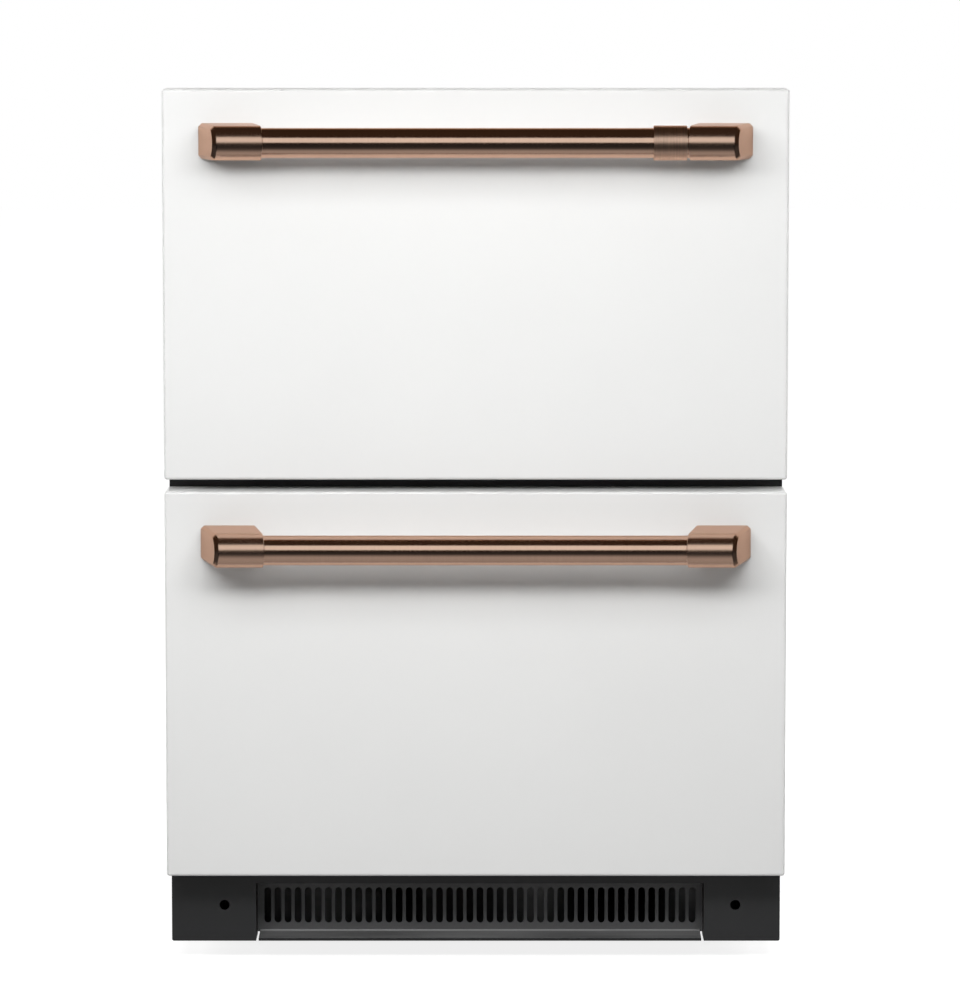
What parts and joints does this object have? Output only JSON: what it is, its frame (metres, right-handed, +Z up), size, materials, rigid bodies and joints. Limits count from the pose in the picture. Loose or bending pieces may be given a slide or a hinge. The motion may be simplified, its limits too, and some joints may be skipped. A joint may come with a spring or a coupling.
{
  "type": "undercounter drawer refrigerator",
  "caption": "Undercounter refrigerator with stacked pull-out drawers, bar handles, a slotted toe-kick grille, levelling legs and a rear machine bay.",
  "frame": {"origin": "on the floor under the middle of the unit's bounding box", "axes": "+Z up, -Y out of the drawer fronts, +X to the right as seen from the front"},
  "size_m": [0.603, 0.676, 0.86],
  "materials": {
    "white_paint": "semi-gloss white paint",
    "copper_finish": "brushed copper finish",
    "black_sheet": "satin black paint",
    "zinc_sheet": "galvanised",
    "zinc_steel": "zinc plated",
    "white_plastic": "satin",
    "bin_plastic": "smooth",
    "grey_plastic": "satin",
    "dark_plastic": "satin",
    "light_cover": "frosted",
    "rubber": "matte",
    "foam": "rigid foam",
    "black_iron": "black paint",
    "fin_aluminium": "plain",
    "copper_tube": "drawn copper"
  },
  "bodies": {
    "cabinet": {"outer_wrapper": "black_sheet", "rear_panel": "zinc_sheet", "machine_cover": "zinc_sheet", "base_pan": "black_sheet", "machine_bay_sheet": "zinc_sheet", "insulation": "foam", "upper_liner": "white_plastic", "lower_liner": "white_plastic", "front_frame": "black_sheet", "kick_plate": "black_sheet", "kick_grille": "black_sheet", "slide_rails": "zinc_steel", "evaporator": "fin_aluminium", "evaporator_cover": "white_plastic", "evaporator_fan_motor": "dark_plastic", "compressor": "black_iron", "compressor_mounts": "rubber", "condenser": "fin_aluminium", "condenser_shroud": "dark_plastic", "condenser_fan_motor": "dark_plastic", "filter_drier": "copper_tube", "refrigerant_tubes": "copper_tube", "drain_pan": "dark_plastic", "control_box": "grey_plastic", "power_inlet": "dark_plastic", "light_bars": "light_cover", "control_panel": "dark_plastic", "counter_brackets": "zinc_steel", "cabinet_screws": "zinc_steel"},
    "evaporator_fan_rotor": {"evaporator_fan": "dark_plastic"},
    "condenser_fan_rotor": {"condenser_fan": "dark_plastic"},
    "power_key": {"power_button": "grey_plastic"},
    "warmer_key": {"warmer_button": "grey_plastic"},
    "colder_key": {"colder_button": "grey_plastic"},
    "front_left_foot_leg": {"front_left_leg": "zinc_steel"},
    "front_right_foot_leg": {"front_right_leg": "zinc_steel"},
    "rear_left_foot_leg": {"rear_left_leg": "zinc_steel"},
    "rear_right_foot_leg": {"rear_right_leg": "zinc_steel"},
    "upper_middle_members": {"upper_middle_slides": "zinc_steel"},
    "lower_middle_members": {"lower_middle_slides": "zinc_steel"},
    "upper_drawer": {"upper_front_skin": "white_paint", "upper_front_foam": "foam", "upper_inner_panel": "white_plastic", "upper_gasket": "rubber", "upper_handle_bar": "copper_finish", "upper_handle_posts": "copper_finish", "upper_bin": "bin_plastic", "upper_drawer_slides": "zinc_steel", "upper_drawer_screws": "zinc_steel", "upper_handle_collar": "copper_finish", "upper_divider": "bin_plastic"},
    "lower_drawer": {"lower_front_skin": "white_paint", "lower_front_foam": "foam", "lower_inner_panel": "white_plastic", "lower_gasket": "rubber", "lower_handle_bar": "copper_finish", "lower_handle_posts": "copper_finish", "lower_bin": "bin_plastic", "lower_drawer_slides": "zinc_steel", "lower_drawer_screws": "zinc_steel"}
  },
  "joints": [
    {"name": "upper_drawer_slide", "type": "slide", "parent": "cabinet", "child": "upper_drawer", "axis": [0, -1, 0], "range_m": [0, 0.4]},
    {"name": "upper_middle_slide", "type": "slide", "parent": "cabinet", "child": "upper_middle_members", "axis": [0, -1, 0], "range_m": [0, 0.2]},
    {"name": "lower_drawer_slide", "type": "slide", "parent": "cabinet", "child": "lower_drawer", "axis": [0, -1, 0], "range_m": [0, 0.29]},
    {"name": "lower_middle_slide", "type": "slide", "parent": "cabinet", "child": "lower_middle_members", "axis": [0, -1, 0], "range_m": [0, 0.145]},
    {"name": "evaporator_fan_spin", "type": "hinge", "parent": "cabinet", "child": "evaporator_fan_rotor", "pos_m": [0, 0.25, 0.73175], "axis": [0, 1, 0], "continuous": true},
    {"name": "condenser_fan_spin", "type": "hinge", "parent": "cabinet", "child": "condenser_fan_rotor", "pos_m": [-0.162, 0.219, 0.1285], "axis": [0, 1, 0], "continuous": true},
    {"name": "power_button_press", "type": "slide", "parent": "cabinet", "child": "power_key", "axis": [0, 1, 0], "range_m": [0, 0.001], "stiffness_N_per_m": 1200, "springref_m": -0.0005},
    {"name": "warmer_button_press", "type": "slide", "parent": "cabinet", "child": "warmer_key", "axis": [0, 1, 0], "range_m": [0, 0.001], "stiffness_N_per_m": 1200, "springref_m": -0.0005},
    {"name": "colder_button_press", "type": "slide", "parent": "cabinet", "child": "colder_key", "axis": [0, 1, 0], "range_m": [0, 0.001], "stiffness_N_per_m": 1200, "springref_m": -0.0005},
    {"name": "front_left_leg_extend", "type": "slide", "parent": "cabinet", "child": "front_left_foot_leg", "axis": [0, 0, -1], "range_m": [0, 0.025]},
    {"name": "front_right_leg_extend", "type": "slide", "parent": "cabinet", "child": "front_right_foot_leg", "axis": [0, 0, -1], "range_m": [0, 0.025]},
    {"name": "rear_left_leg_extend", "type": "slide", "parent": "cabinet", "child": "rear_left_foot_leg", "axis": [0, 0, -1], "range_m": [0, 0.025]},
    {"name": "rear_right_leg_extend", "type": "slide", "parent": "cabinet", "child": "rear_right_foot_leg", "axis": [0, 0, -1], "range_m": [0, 0.025]}
  ],
  "couplings": [
    {"joint": "upper_middle_slide", "follows": "upper_drawer_slide", "ratio": 0.5},
    {"joint": "lower_middle_slide", "follows": "lower_drawer_slide", "ratio": 0.5}
  ]
}
